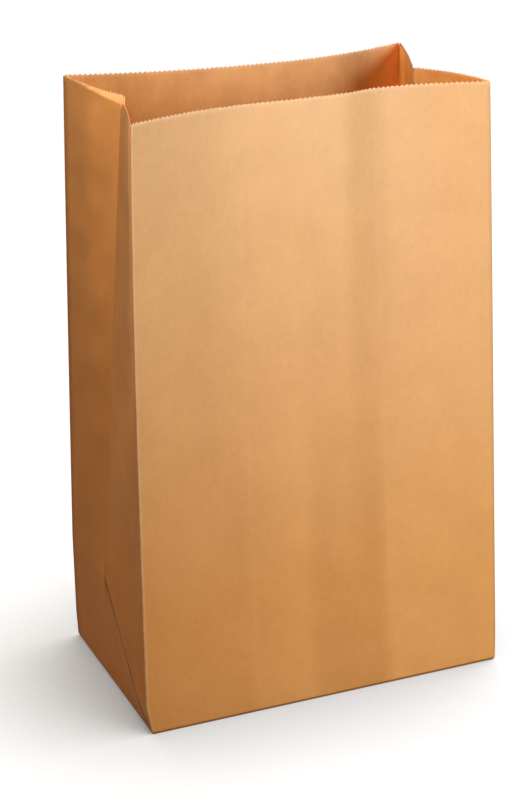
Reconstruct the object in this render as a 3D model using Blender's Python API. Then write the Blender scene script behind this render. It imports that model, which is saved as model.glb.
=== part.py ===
"""Brown kraft paper lunch bag, open and standing on its base: one folded sheet.

The front wall stands at -Y and the back wall at +Y, with a gusseted side panel at each end of X. The
rim is pinked. Each side panel has an upright crease that tucks in towards the rim, and two slanting
creases that run down from its foot to the base's corners. The base is two side flaps with two long
flaps folded over them. Metres, +Z up, origin at the centre of the base.
"""

import collections
import itertools
import math

import bmesh
import bpy

# Size of the open bag and thickness of its sheet
WIDTH = 0.152
DEPTH = 0.094
HEIGHT = 0.243
PAPER = 0.00025

# Pinked edges: how deep a tooth is, how many each column of the rim has, their spacing elsewhere, and
# the height of the rim's band
TOOTH_DEPTH = 0.0007
TEETH_PER_COLUMN = 6
TOOTH_PITCH = 0.0019
RIM_BAND = 0.0022

# Columns across a long wall and across half a side panel, and rows above and below the crease height.
# Columns and low rows are equally spaced, so the slanting creases run from corner to corner of cells.
WALL_COLUMNS = 13
HALF_PANEL_COLUMNS = 4
LOW_ROWS = HALF_PANEL_COLUMNS
HIGH_ROWS = 16

# The upright creases end half the bag's depth above the base, where the slanting creases meet
CREASE_HEIGHT = DEPTH / 2
ROW = CREASE_HEIGHT / LOW_ROWS

# Every base flap folds in by this much, which stops it half a column short of the bag's middle
FLAP_REACH = WIDTH / 2 - WIDTH / WALL_COLUMNS / 2
FLAP_PASS = FLAP_REACH - DEPTH / 2

# Heights of the base's layers: the outer long flap, the inner long flap and the side flaps
OUTER_FLAP = 0.0
INNER_FLAP = PAPER
SIDE_FLAP = 2 * PAPER
FLOOR = 3 * PAPER

# How the walls move: powers of the share of the height at which each movement grows
GUSSET_GROWTH = 0.9
BACK_BOW_GROWTH = 1.2
FRONT_BOW_GROWTH = 1.5
BULGE_FADE = 3.5

# The crease that crosses the back wall at the crease height, and goes on over the side panels
BACK_DENT = 0.0008
PANEL_RIDGE = 0.0004

# The glued seam up the back wall: the columns that it lies between, and the run of each cut edge
SEAM_COLUMNS = (3, 4)
CUT_RUN = 0.0001

# A corner of the base, its move from there to the rim, the height at which that move starts, and how
# far the side panel beside it bulges out
Corner = collections.namedtuple("Corner", "x y rim_x rim_y lean_from bulge")
CORNERS = {
    "front_left": Corner(-WIDTH / 2, -DEPTH / 2, 0.0004, 0.0001, CREASE_HEIGHT, 0.0023),
    "front_right": Corner(WIDTH / 2, -DEPTH / 2, -0.0053, 0.0067, 0.0, 0.0003),
    "back_right": Corner(WIDTH / 2, DEPTH / 2, -0.0016, -0.0025, CREASE_HEIGHT, 0.0008),
    "back_left": Corner(-WIDTH / 2, DEPTH / 2, 0.0048, -0.0020, CREASE_HEIGHT, 0.0005),
}

# A gusset's upright crease: the corners beside it, and how far it tucks in at the rim
Gusset = collections.namedtuple("Gusset", "front back tuck_x tuck_y")
GUSSETS = {
    "left": Gusset("front_left", "back_left", 0.0102, -0.0018),
    "right": Gusset("front_right", "back_right", -0.0162, -0.0057),
}

# The long walls, anticlockwise seen from above, with the sine waves that bow each one in at the rim
Wall = collections.namedtuple("Wall", "start end waves growth lean_from dent")
FRONT = Wall("front_left", "front_right", (0.0106, -0.0004, 0.0021), FRONT_BOW_GROWTH, 0.0, 0.0)
BACK = Wall(
    "back_right", "back_left", (0.0154, 0.0010, 0.0007), BACK_BOW_GROWTH, CREASE_HEIGHT, BACK_DENT
)

# The halves of the side panels, in the same order, with how far each one swells out at the rim
Half = collections.namedtuple("Half", "corner gusset swell from_corner ridge")
RIGHT_FRONT = Half("front_right", "right", 0.0034, True, 0.0)
RIGHT_BACK = Half("back_right", "right", 0.0010, False, PANEL_RIDGE)
LEFT_BACK = Half("back_left", "left", 0.0012, True, PANEL_RIDGE)
LEFT_FRONT = Half("front_left", "left", 0.0, False, 0.0)
SIDES = (FRONT, RIGHT_FRONT, RIGHT_BACK, BACK, LEFT_BACK, LEFT_FRONT)

# The marks that the folded gussets press into the front wall, as far in from each edge as a gusset is
# deep: shares of the wall, and how far it sinks in along them at the base and at the rim
MARKS = (DEPTH / 2 / WIDTH, 1 - DEPTH / 2 / WIDTH)
LEFT_MARK_SINKS = (0.0014, 0.0004)
RIGHT_MARK_SINKS = (0.0014, 0.0014)

# The soft ridge between the marks: its shares of the wall at the base and at the rim, and its height
RIDGE_SHARES = (0.50, 0.62)
RIDGE_RISE = 0.0007

KRAFT_COLOUR = (0.62, 0.34, 0.15, 1.0)
KRAFT_ROUGHNESS = 0.85

# A place on the rim or a row: its side, its share of the way along that side, and how far the outer
# and the inner face lie outside their usual places
Station = collections.namedtuple("Station", "side share outer_lift inner_lift")


def clear_scene():
    for obj in list(bpy.data.objects):
        bpy.data.objects.remove(obj)


def mix(a, b, share):
    return a + (b - a) * share


def share_of_height(height, start):
    """How far up the part of the bag above start a height is, from 0 to 1."""
    return max(0.0, (height - start) / (HEIGHT - start))


def near_crease_height(height):
    """1 at the crease height, falling to 0 one row above and below it."""
    return max(0.0, 1 - abs(height - CREASE_HEIGHT) / ROW)


def bulge(size, from_corner, height):
    """How far a side panel swells out: below the slanting crease it leans out from the base's edge."""
    rise = min(1.0, height / max(from_corner, ROW))
    return size * rise * (1 - share_of_height(height, 0.0) ** BULGE_FADE)


def flat_corner(name, height):
    """A corner's place at a height, without its side panel's bulge."""
    corner = CORNERS[name]
    lean = share_of_height(height, corner.lean_from)
    return corner.x + corner.rim_x * lean, corner.y + corner.rim_y * lean


def pushed_out(point, size, from_corner, height):
    """A point of a side panel moved away from the bag's middle by the panel's bulge."""
    return point[0] + math.copysign(bulge(size, from_corner, height), point[0]), point[1]


def corner_point(name, height):
    """A corner's place at a height."""
    return pushed_out(flat_corner(name, height), CORNERS[name].bulge, 0.0, height)


def crease_point(gusset, height):
    """The upright crease's place at a height, without the bulge."""
    front = flat_corner(gusset.front, height)
    back = flat_corner(gusset.back, height)
    tuck = share_of_height(height, CREASE_HEIGHT) ** GUSSET_GROWTH
    x = mix(front[0], back[0], 0.5) + gusset.tuck_x * tuck
    y = mix(front[1], back[1], 0.5) + gusset.tuck_y * tuck
    return x, y


def beside_chord(start, end, share, inward):
    """The point a share of the way from start to end, moved to the left of that line by inward."""
    along_x, along_y = end[0] - start[0], end[1] - start[1]
    length = math.hypot(along_x, along_y)
    x = start[0] + along_x * share - along_y / length * inward
    y = start[1] + along_y * share + along_x / length * inward
    return x, y


def wall_point(wall, share, height):
    """A point of the front or the back wall, which bows in towards the rim."""
    grown = share_of_height(height, wall.lean_from) ** wall.growth
    bow = sum(size * math.sin(math.pi * (i + 1) * share) for i, size in enumerate(wall.waves))
    from_edge = min(1.0, min(share, 1 - share) * WALL_COLUMNS)
    inward = bow * grown + wall.dent * near_crease_height(height) * from_edge
    return beside_chord(
        corner_point(wall.start, height), corner_point(wall.end, height), share, inward
    )


def half_point(half, share, height):
    """A point of half a side panel, between its corner and the upright crease."""
    gusset = GUSSETS[half.gusset]
    corner = flat_corner(half.corner, height)
    crease = crease_point(gusset, height)
    swell = -half.swell * share_of_height(height, CREASE_HEIGHT) * math.sin(math.pi * share)
    ends = (corner, crease) if half.from_corner else (crease, corner)
    point = beside_chord(*ends, share, swell)
    away = share if half.from_corner else 1 - share
    middle_bulge = mix(CORNERS[gusset.front].bulge, CORNERS[gusset.back].bulge, 0.5)
    size = mix(CORNERS[half.corner].bulge, middle_bulge, away)
    point = pushed_out(point, size, away * DEPTH / 2, height)
    ridge = half.ridge * near_crease_height(height) * math.sin(math.pi * away / 2)
    return point[0] + math.copysign(ridge, point[0]), point[1]


def side_point(side, share, height):
    """A point of either kind of side."""
    return (wall_point if isinstance(side, Wall) else half_point)(side, share, height)


def soft_step(value):
    """0 up to value 0 and 1 from value 1 on, with a smooth rise between them."""
    value = min(1.0, max(0.0, value))
    return value * value * (3 - 2 * value)


def between_knots(knots, share):
    """The value at a share of the way along straight lines between (share, value) knots."""
    for (start, low), (end, high) in zip(knots, knots[1:]):
        if share <= end:
            return mix(low, high, (share - start) / (end - start))
    return knots[-1][1]


def pressed_marks(side, share, height):
    """How far the front wall stands out, where folding flat has left it slightly facetted."""
    if side is not FRONT:
        return 0.0
    up = height / HEIGHT
    knots = (
        (0.0, 0.0),
        (MARKS[0], -mix(*LEFT_MARK_SINKS, soft_step(up))),
        (mix(*RIDGE_SHARES, up), RIDGE_RISE),
        (MARKS[1], -mix(*RIGHT_MARK_SINKS, soft_step(up))),
        (1.0, 0.0),
    )
    return soft_step(height / CREASE_HEIGHT) * between_knots(knots, share)


def crease_rises(side):
    """Whether the slanting creases climb in the direction in which the stations run."""
    return isinstance(side, Wall) or side.from_corner


def coarse_stations():
    """The columns once round the bag from its front left corner, with the back wall's glued seam."""
    stations = []
    for side in SIDES:
        columns = WALL_COLUMNS if isinstance(side, Wall) else HALF_PANEL_COLUMNS
        for column in range(columns):
            share = column / columns
            half_cut = CUT_RUN / 2 / WIDTH
            if side is BACK and column == SEAM_COLUMNS[0]:
                stations.append(Station(side, share - half_cut, 0.0, 0.0))
                stations.append(Station(side, share + half_cut, PAPER, 0.0))
            elif side is BACK and column == SEAM_COLUMNS[1]:
                stations.append(Station(side, share - half_cut, PAPER, 0.0))
                stations.append(Station(side, share + half_cut, PAPER, PAPER))
            else:
                stations.append(Station(side, share, 0.0, 0.0))
    return stations


def cell_end(stations, index):
    """The station that ends a column, as a place on the side where the column starts."""
    start, end = stations[index], stations[(index + 1) % len(stations)]
    share = end.share if end.side is start.side else 1.0
    return Station(start.side, share, end.outer_lift, end.inner_lift)


def tooth_stations(start, end):
    """The rim's valleys and tips from start up to end, without end's own valley."""
    is_cut = end.share - start.share < 2 * CUT_RUN / WIDTH
    steps = 1 if is_cut else 2 * TEETH_PER_COLUMN
    stations = []
    for step in range(steps):
        values = (mix(a, b, step / steps) for a, b in zip(start[1:], end[1:]))
        stations.append(Station(start.side, *values))
    return stations


def both_faces(stations, heights):
    """The outer and the inner face's points at these stations, a sheet's thickness apart."""
    plan = [side_point(s.side, s.share, z) for s, z in zip(stations, heights)]
    outer, inner = [], []
    for i, (x, y) in enumerate(plan):
        before, after = plan[i - 1], plan[(i + 1) % len(plan)]
        first = outward_normal(before, (x, y))
        second = outward_normal((x, y), after)
        spread = 1 + first[0] * second[0] + first[1] * second[1]
        out_x, out_y = (first[0] + second[0]) / spread, (first[1] + second[1]) / spread
        out = pressed_marks(stations[i].side, stations[i].share, heights[i])
        lift, sink = out + stations[i].outer_lift, out + stations[i].inner_lift - PAPER
        outer.append((x + out_x * lift, y + out_y * lift, heights[i]))
        inner.append((x + out_x * sink, y + out_y * sink, heights[i]))
    return outer, inner


def outward_normal(start, end):
    """The level direction that points out of the bag from the line between two points."""
    along_x, along_y = end[0] - start[0], end[1] - start[1]
    length = math.hypot(along_x, along_y)
    return along_y / length, -along_x / length


def row_heights():
    """Heights of the rows above the foot, up to the rim's band."""
    low = [CREASE_HEIGHT * i / LOW_ROWS for i in range(1, LOW_ROWS)]
    top = HEIGHT - RIM_BAND
    high = [mix(CREASE_HEIGHT, top, i / HIGH_ROWS) for i in range(HIGH_ROWS + 1)]
    return low + high


def add_points(bm, points):
    return [bm.verts.new(point) for point in points]


def add_wall_rows(bm, rows, stations):
    """Triangles between rows, split along the slanting creases."""
    count = len(stations)
    for lower, upper in zip(rows, rows[1:]):
        for i, station in enumerate(stations):
            j = (i + 1) % count
            a, b, c, d = lower[i], lower[j], upper[j], upper[i]
            if crease_rises(station.side):
                bm.faces.new((a, b, c))
                bm.faces.new((a, c, d))
            else:
                bm.faces.new((a, b, d))
                bm.faces.new((b, c, d))


def add_rim_teeth(bm, row, teeth):
    """The pinked band from the top row to the rim, where teeth holds each column's points."""
    for i, points in enumerate(teeth):
        left, right = row[i], row[(i + 1) % len(row)]
        points = points + [teeth[(i + 1) % len(teeth)][0]]
        valleys = points[::2] if len(points) > 2 else points
        tips = points[1::2] if len(points) > 2 else []
        middle = len(valleys) // 2
        for k, (a, b) in enumerate(zip(valleys, valleys[1:])):
            bm.faces.new((left if k < middle else right, b, a))
        bm.faces.new((left, right, valleys[middle]))
        for a, tip, b in zip(valleys, tips, valleys[1:]):
            bm.faces.new((a, b, tip))


def add_rim_edge(bm, outer, inner):
    """The sheet's cut edge along the rim."""
    for i, point in enumerate(outer):
        j = (i + 1) % len(outer)
        bm.faces.new((point, outer[j], inner[j], inner[i]))


def pinked(start, end, side_x, side_y, level):
    """The points of a pinked edge between start and end, with its teeth standing towards side."""
    teeth = round(math.dist(start, end) / TOOTH_PITCH)
    points = []
    for step in range(1, 2 * teeth):
        depth = TOOTH_DEPTH * (step % 2)
        share = step / (2 * teeth)
        x = mix(start[0], end[0], share) + side_x * depth
        y = mix(start[1], end[1], share) + side_y * depth
        points.append((x, y, level))
    return points


def between(ring, stations, start_side, end_side):
    """The ring's points from the start of one side to the start of another, both included."""
    sides = [station.side for station in stations]
    start, end = sides.index(start_side), sides.index(end_side)
    if end <= start:
        end += len(ring)
    return [ring[i % len(ring)] for i in range(start, end + 1)]


def sink_faces(bm, faces, depth):
    """Lowers faces by depth, with a step round them. Returns the lowered faces."""
    made = bmesh.ops.extrude_face_region(bm, geom=faces)["geom"]
    for vert in (item for item in made if isinstance(item, bmesh.types.BMVert)):
        vert.co.z -= depth
    leftover = [face for face in faces if face.is_valid]
    bmesh.ops.delete(bm, geom=leftover, context="FACES_ONLY")
    return [item for item in made if isinstance(item, bmesh.types.BMFace)]


def add_underside(bm, ring, stations):
    """The base from below: side flaps, the inner long flap from the back and the outer from the front."""
    tip_x, cut_x = WIDTH / 2 - DEPTH / 2, WIDTH / 2 - FLAP_REACH
    right_tip, left_tip, right_cut, left_cut = add_points(
        bm,
        [
            (tip_x, 0.0, SIDE_FLAP),
            (-tip_x, 0.0, SIDE_FLAP),
            (cut_x, FLAP_PASS, SIDE_FLAP),
            (-cut_x, FLAP_PASS, SIDE_FLAP),
        ],
    )
    cut = add_points(bm, pinked((cut_x, FLAP_PASS), (-cut_x, FLAP_PASS), 0, 1, SIDE_FLAP))
    front = between(ring, stations, FRONT, RIGHT_FRONT)
    right = between(ring, stations, RIGHT_FRONT, BACK)
    back = between(ring, stations, BACK, LEFT_BACK)
    left = between(ring, stations, LEFT_BACK, FRONT)
    bm.faces.new(right + [right_tip])
    bm.faces.new(left + [left_tip])
    outer = bm.faces.new(front + [right_tip, right_cut] + cut + [left_cut, left_tip])
    inner = bm.faces.new(back + [left_tip, left_cut] + cut[::-1] + [right_cut, right_tip])
    lowered = sink_faces(bm, [outer, inner], SIDE_FLAP - INNER_FLAP)
    sink_faces(bm, [front_face(lowered)], INNER_FLAP - OUTER_FLAP)


def front_face(faces):
    return min(faces, key=lambda face: face.calc_center_median().y)


def nearest(verts, x):
    """The index of the vertex nearest to x."""
    return min(range(len(verts)), key=lambda i: abs(verts[i].co.x - x))


def add_floor(bm, ring, stations):
    """The base from inside: side flaps, and between their cut edges the two long flaps a step lower."""
    cut_x = WIDTH / 2 - FLAP_REACH
    front = between(ring, stations, FRONT, RIGHT_FRONT)
    right = between(ring, stations, RIGHT_FRONT, BACK)
    back = between(ring, stations, BACK, LEFT_BACK)
    left = between(ring, stations, LEFT_BACK, FRONT)
    front_left, front_right = nearest(front, -cut_x), nearest(front, cut_x)
    back_right, back_left = nearest(back, cut_x), nearest(back, -cut_x)
    right_step, left_step = add_points(
        bm, [(cut_x, -FLAP_PASS, FLOOR), (-cut_x, -FLAP_PASS, FLOOR)]
    )

    def cut_edge(start, end, side_x):
        return add_points(bm, pinked(start.co.xy, end.co.xy, side_x, 0, FLOOR))

    right_low = cut_edge(front[front_right], right_step, -1)
    right_high = cut_edge(right_step, back[back_right], -1)
    left_low = cut_edge(front[front_left], left_step, 1)
    left_high = cut_edge(left_step, back[back_left], 1)
    cross = add_points(bm, pinked((cut_x, -FLAP_PASS), (-cut_x, -FLAP_PASS), 0, -1, FLOOR))

    right_outline = front[front_right:-1] + right[:-1] + back[: back_right + 1]
    left_outline = back[back_left:-1] + left[:-1] + front[: front_left + 1]
    front_outline = front[front_left : front_right + 1]
    back_outline = back[back_right : back_left + 1]
    bm.faces.new(right_outline + right_high[::-1] + [right_step] + right_low[::-1])
    bm.faces.new(left_outline + left_low + [left_step] + left_high)
    outer = bm.faces.new(
        front_outline + right_low + [right_step] + cross + [left_step] + left_low[::-1]
    )
    inner = bm.faces.new(
        back_outline + left_high[::-1] + [left_step] + cross[::-1] + [right_step] + right_high
    )
    lowered = sink_faces(bm, [outer, inner], PAPER)
    sink_faces(bm, [front_face(lowered)], PAPER)


def rim_points(columns):
    """The rim's outer and inner points, column by column, each starting with a valley."""
    stations = [station for column in columns for station in column]
    heights = [
        HEIGHT - TOOTH_DEPTH * (1 - step % 2) for column in columns for step in range(len(column))
    ]
    return both_faces(stations, heights)


def in_columns(verts, columns):
    """The rim's vertices, split into the same columns."""
    ends = list(itertools.accumulate(len(column) for column in columns))
    return [verts[end - len(column) : end] for end, column in zip(ends, columns)]


def bag_mesh():
    """The whole sheet as one closed surface."""
    bm = bmesh.new()
    stations = coarse_stations()
    outer_foot, _ = both_faces(stations, [SIDE_FLAP] * len(stations))
    _, inner_foot = both_faces(stations, [FLOOR] * len(stations))
    outer_rows, inner_rows = [outer_foot], [inner_foot]
    for height in row_heights():
        outer, inner = both_faces(stations, [height] * len(stations))
        outer_rows.append(outer)
        inner_rows.append(inner)
    columns = [tooth_stations(s, cell_end(stations, i)) for i, s in enumerate(stations)]
    outer_rim, inner_rim = rim_points(columns)

    feet, rims = [], []
    for rows, rim in ((outer_rows, outer_rim), (inner_rows, inner_rim)):
        verts = [add_points(bm, row) for row in rows]
        rim_verts = add_points(bm, rim)
        add_wall_rows(bm, verts, stations)
        add_rim_teeth(bm, verts[-1], in_columns(rim_verts, columns))
        feet.append(verts[0])
        rims.append(rim_verts)
    add_rim_edge(bm, *rims)
    add_underside(bm, feet[0], stations)
    add_floor(bm, feet[1], stations)
    bmesh.ops.recalc_face_normals(bm, faces=bm.faces)
    mesh = bpy.data.meshes.new("paper_bag")
    bm.to_mesh(mesh)
    bm.free()
    return mesh


def kraft_paper():
    material = bpy.data.materials.new("kraft_paper")
    material.use_nodes = True
    shader = material.node_tree.nodes["Principled BSDF"]
    shader.inputs["Base Color"].default_value = KRAFT_COLOUR
    shader.inputs["Roughness"].default_value = KRAFT_ROUGHNESS
    shader.inputs["Metallic"].default_value = 0.0
    return material


def main():
    clear_scene()
    bag = bpy.data.objects.new("paper_bag", bag_mesh())
    bag.data.materials.append(kraft_paper())
    bpy.context.scene.collection.objects.link(bag)


main()
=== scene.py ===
"""Looks of the brown paper lunch bag: its folded sheet, kraft material, camera, lights and floor.

The sheet follows the same named values and formulas as the CAD source, on a finer mesh with thinner
paper. It adds rounded folds, a bent lip on the left side panel, slight crumples, the painted light and
shade of each place of the paper, and how worn it is, with painted highlights and shade along folds,
creases, the rim and the base. The material turns these last two into colour.
"""

import collections
import math

import bmesh
import bpy
from mathutils import Matrix, Vector, noise


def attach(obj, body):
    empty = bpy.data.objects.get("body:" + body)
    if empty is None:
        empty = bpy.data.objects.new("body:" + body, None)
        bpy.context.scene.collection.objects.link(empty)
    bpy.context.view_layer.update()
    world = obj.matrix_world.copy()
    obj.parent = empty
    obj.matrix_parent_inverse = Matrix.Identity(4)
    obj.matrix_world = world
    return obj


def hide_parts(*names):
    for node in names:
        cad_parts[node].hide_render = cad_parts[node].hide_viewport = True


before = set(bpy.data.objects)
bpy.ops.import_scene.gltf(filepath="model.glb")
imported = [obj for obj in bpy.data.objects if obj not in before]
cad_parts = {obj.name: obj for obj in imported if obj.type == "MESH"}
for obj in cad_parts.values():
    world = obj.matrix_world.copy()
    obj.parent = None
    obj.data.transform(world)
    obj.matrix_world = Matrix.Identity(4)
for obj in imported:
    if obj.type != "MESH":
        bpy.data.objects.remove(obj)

# Size of the open bag and thickness of its sheet
WIDTH = 0.152
DEPTH = 0.094
HEIGHT = 0.243
PAPER = 0.00014

# Pinked edges: how deep a tooth is, its spacing on the base flaps, and the height of the rim's band
TOOTH_DEPTH = 0.0007
TOOTH_PITCH = 0.0019
RIM_BAND = 0.0012

# How much the depth of the rim's teeth varies, and the noise that it follows: the step along it from
# tooth to tooth, and its row
TOOTH_UNEVEN = 0.35
TOOTH_NOISE_STEP = 0.37
TOOTH_NOISE_ROW = 7.0

# Columns across a long wall and half a side panel, and rows below the crease height, from there to the
# foot of the lip, and across the lip. There are as many low rows as columns of half a panel, so that
# the slanting creases run along the edges of triangles.
WALL_COLUMNS = 78
HALF_PANEL_COLUMNS = 24
LOW_ROWS = HALF_PANEL_COLUMNS
HIGH_ROWS = 100
LIP_ROWS = 5

# Heights as close as this count as the same
HAIR = 0.00001

# The upright creases end half the bag's depth above the base, where the slanting creases meet
CREASE_HEIGHT = DEPTH / 2
CREASE_ZONE = DEPTH / 8

# Every base flap folds in by this much, which stops it three columns short of the bag's middle
FLAP_REACH = WIDTH / 2 - 3 * WIDTH / WALL_COLUMNS
FLAP_PASS = FLAP_REACH - DEPTH / 2

# Heights of the base's layers: the outer long flap, the inner long flap and the side flaps
INNER_FLAP = PAPER
SIDE_FLAP = 2 * PAPER
FLOOR = 3 * PAPER

# How the walls move: powers of the share of the height at which each movement grows
GUSSET_GROWTH = 0.9
BACK_BOW_GROWTH = 1.2
FRONT_BOW_GROWTH = 1.5
BULGE_FADE = 3.5

# The crease that crosses the back wall at the crease height, and goes on over the side panels
BACK_DENT = 0.0008
PANEL_RIDGE = 0.0004

# The glued seam up the back wall: the columns that it lies between, how far the outer and the inner
# face are lifted just before and just after each of these cut edges, the run of a cut edge, and the
# columns over which the paper beyond the seam settles back
SEAM_COLUMNS = (18, 24)
SEAM_EDGES = {
    SEAM_COLUMNS[0]: ((0.0, 0.0), (PAPER, 0.0)),
    SEAM_COLUMNS[1]: ((PAPER, 0.0), (PAPER, PAPER)),
}
CUT_RUN = 0.0001
SEAM_SETTLE = 4

# Folds are rounded over this length on each side, with points at these shares of the bend. The fold
# round the base is rounded by this radius, with rows at these shares of it.
FOLD_RUN = 0.0009
FOLD_SHARES = (0.25, 0.5, 0.75)
BASE_FOLD = 0.0014
BASE_ROWS = (0.35, 0.6, 1.0)

# Faces that meet at a larger angle than this are shaded with a sharp edge, and the base's level faces
# are those whose normals rise or fall by more than this
SHARP_ANGLE = math.radians(62)
LEVEL_NORMAL = 0.9

# A corner of the base, its move from there to the rim, the height at which that move starts, and how
# far the side panel beside it bulges out
Corner = collections.namedtuple("Corner", "x y rim_x rim_y lean_from bulge")
CORNERS = {
    "front_left": Corner(-WIDTH / 2, -DEPTH / 2, 0.0004, 0.0001, CREASE_HEIGHT, 0.0023),
    "front_right": Corner(WIDTH / 2, -DEPTH / 2, -0.0053, 0.0067, 0.0, 0.0003),
    "back_right": Corner(WIDTH / 2, DEPTH / 2, -0.0016, -0.0025, CREASE_HEIGHT, 0.0008),
    "back_left": Corner(-WIDTH / 2, DEPTH / 2, 0.0048, -0.0020, CREASE_HEIGHT, 0.0005),
}

# A gusset's upright crease: the corners beside it, and how far it tucks in at the rim
Gusset = collections.namedtuple("Gusset", "front back tuck_x tuck_y")
GUSSETS = {
    "left": Gusset("front_left", "back_left", 0.0102, -0.0018),
    "right": Gusset("front_right", "back_right", -0.0162, -0.0057),
}

# The long walls, anticlockwise seen from above: the sine waves that bow each one in at the rim, how the
# bow grows and from which height, and how deep the crease across the wall is
Wall = collections.namedtuple("Wall", "start end waves growth lean_from dent")
FRONT = Wall("front_left", "front_right", (0.0106, -0.0004, 0.0021), FRONT_BOW_GROWTH, 0.0, 0.0)
BACK = Wall(
    "back_right", "back_left", (0.0154, 0.0010, 0.0007), BACK_BOW_GROWTH, CREASE_HEIGHT, BACK_DENT
)

# The halves of the side panels, in the same order: how far each one swells out at the rim, whether it
# runs from its corner to the upright crease, and how far the crease across it stands out
Half = collections.namedtuple("Half", "corner gusset swell from_corner ridge")
RIGHT_FRONT = Half("front_right", "right", 0.0034, True, 0.0)
RIGHT_BACK = Half("back_right", "right", 0.0010, False, PANEL_RIDGE)
LEFT_BACK = Half("back_left", "left", 0.0012, True, PANEL_RIDGE)
LEFT_FRONT = Half("front_left", "left", 0.0, False, 0.0)
SIDES = (FRONT, RIGHT_FRONT, RIGHT_BACK, BACK, LEFT_BACK, LEFT_FRONT)

# The marks that the folded gussets press into the long walls, as far in from each edge as a gusset is
# deep: shares of the wall, and how far the front wall sinks in along them at the base and at the rim
MARKS = (DEPTH / 2 / WIDTH, 1 - DEPTH / 2 / WIDTH)
LEFT_MARK_SINKS = (0.0014, 0.0004)
RIGHT_MARK_SINKS = (0.0014, 0.0014)

# The soft ridge between the marks: its shares of the wall at the base and at the rim, and its height
RIDGE_SHARES = (0.50, 0.62)
RIDGE_RISE = 0.0007

# How worn the fold at the start of each side is, with painted highlights and shade: paler above 0, from
# rubbing and a painted highlight, and darker below it, as painted shade. Folds that aren't named are
# slightly worn, and the ends of each rounding are worn by this share of its middle.
FOLD_WEAR_AND_SHADING = {FRONT: 0.62, RIGHT_FRONT: -0.4, RIGHT_BACK: 0.8, BACK: -0.5, LEFT_BACK: -1.0}
SLIGHT_WEAR = 0.2
FOLD_END_SHARE = 0.75

# Painted shade along the rim on two of its sides and a painted highlight along it on the others, and how
# far down from it these reach
RIM_PAINTED_SHADE = {LEFT_FRONT: -0.5, RIGHT_BACK: -1.0}
RIM_PAINTED_HIGHLIGHT = 1.0
RIM_REACH = 0.0024

# A painted contact shadow along the fold round the base, and how worn the crease that crosses the back and
# the marks in the long walls are
BASE_PAINTED_SHADOW = -1.0
LEVEL_WEAR = 0.2
MARK_WEAR = 0.22

# Painted shade along the slanting crease of each half panel, below its line, and a painted highlight by
# this share of it above the line, over this height to each side.
SLANTING_PAINTED_SHADE = {LEFT_FRONT: -1.0, RIGHT_FRONT: -0.8, LEFT_BACK: 0.0, RIGHT_BACK: -0.3}
SLANTING_PAINTED_HIGHLIGHT = -0.5
SLANTING_REACH = 0.006

# How much of each half belongs to a side panel's middle, which has no crease near the base
MIDDLE_SHARE = 0.03

# Painted light and shade inside: (share, tone) knots across its sides, where a tone above 0 is paler than
# usual
INSIDE_PAINTED_SHADING = {
    BACK: (
        (0.0, 3.2), (0.10, 1.6), (0.16, -0.8), (0.29, 1.2),
        (0.44, 2.2), (0.60, 1.2), (0.75, 0.0), (0.9, -2.4),
    ),
    RIGHT_BACK: ((0.0, -2.4), (0.6, -2.4), (0.8, 1.5), (1.0, 1.5)),
    RIGHT_FRONT: ((0.0, 1.6), (1.0, -0.2)),
}

# Painted light and shade in bands across the front wall, along the marks that folding flat pressed into
# it, at the base and at the rim
FRONT_SHADING_AT_BASE = (
    (0.0, -1.6), (0.08, -0.9), (0.28, -0.8), (0.31, -0.1), (0.45, 0.8),
    (0.49, -0.3), (0.66, -0.7), (0.70, 1.2), (1.0, 1.2),
)
FRONT_SHADING_AT_RIM = (
    (0.0, -1.2), (0.20, -0.9), (0.36, 0.6), (0.58, 0.8),
    (0.63, -0.5), (0.70, -0.7), (0.74, 0.3), (1.0, 1.0),
)

# Painted light and shade on the left gusset at the rim, across its back and its front half, and the shares
# of the height between which it grows
GUSSET_PAINTED_SHADING = {
    LEFT_BACK: ((0.0, -0.5), (0.40, -0.3), (0.60, 1.5), (1.0, 1.5)),
    LEFT_FRONT: ((0.0, -3.2), (0.70, -3.2), (0.88, 2.0), (1.0, 2.0)),
}
GUSSET_SHADING_FROM = 0.42
GUSSET_SHADING_TO = 0.92

# Painted shade along the left side panel's back edge, as a tone and as a dark line, and the share of its
# back half that this reaches over, painted light on the triangle below its slanting creases, and a painted
# highlight on its lip
EDGE_PAINTED_SHADE = -3.2
EDGE_PAINTED_LINE = -0.9
EDGE_REACH = 0.14
TRIANGLE_PAINTED_LIGHT = 0.5
LIP_PAINTED_HIGHLIGHT = 3.2

# Crumples: how far they move the sheet, their size, how much stronger they are on the side panels, and
# how soon they grow away from a fold
CRUMPLES = ((0.00040, 0.045), (0.00014, 0.014), (0.00004, 0.0055))
PANEL_CRUMPLE = 2.2
CRUMPLE_GROWTH = 0.010

# The lip of the left gusset leans in by this much where the upright crease meets the rim. It is this
# tall there, runs out over these lengths of the sheet towards its corners, and is at least this share
# of its height tall.
LIP_LEAN = 0.0010
LIP_HEIGHT = 0.0034
LIP_REACH = {LEFT_BACK: DEPTH * 0.4, LEFT_FRONT: DEPTH / 6}
LIP_LEAST = 0.05

# A place on a row: its side, its share of the way along, how far the outer and the inner face lie outside
# their usual places, how worn the paper is there with its painted highlight or shade, and its share of a
# fold's bend, if any
Station = collections.namedtuple("Station", "side share outer_lift inner_lift wear bend")

# The two faces of the sheet, as the third number of a place on it
OUTER_FACE = 0.0
INNER_FACE = 1.0

# Camera: where it stands, how it is turned, its lens, and its sensor along the picture's long side
CAMERA_PLACE = (-0.30279, -0.71170, 0.40481)
CAMERA_YAW = math.radians(22.475)
CAMERA_PITCH = math.radians(20.749)
CAMERA_ROLL = math.radians(-0.910)
LENS_MM = 92.03
SENSOR_MM = 36.0

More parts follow.
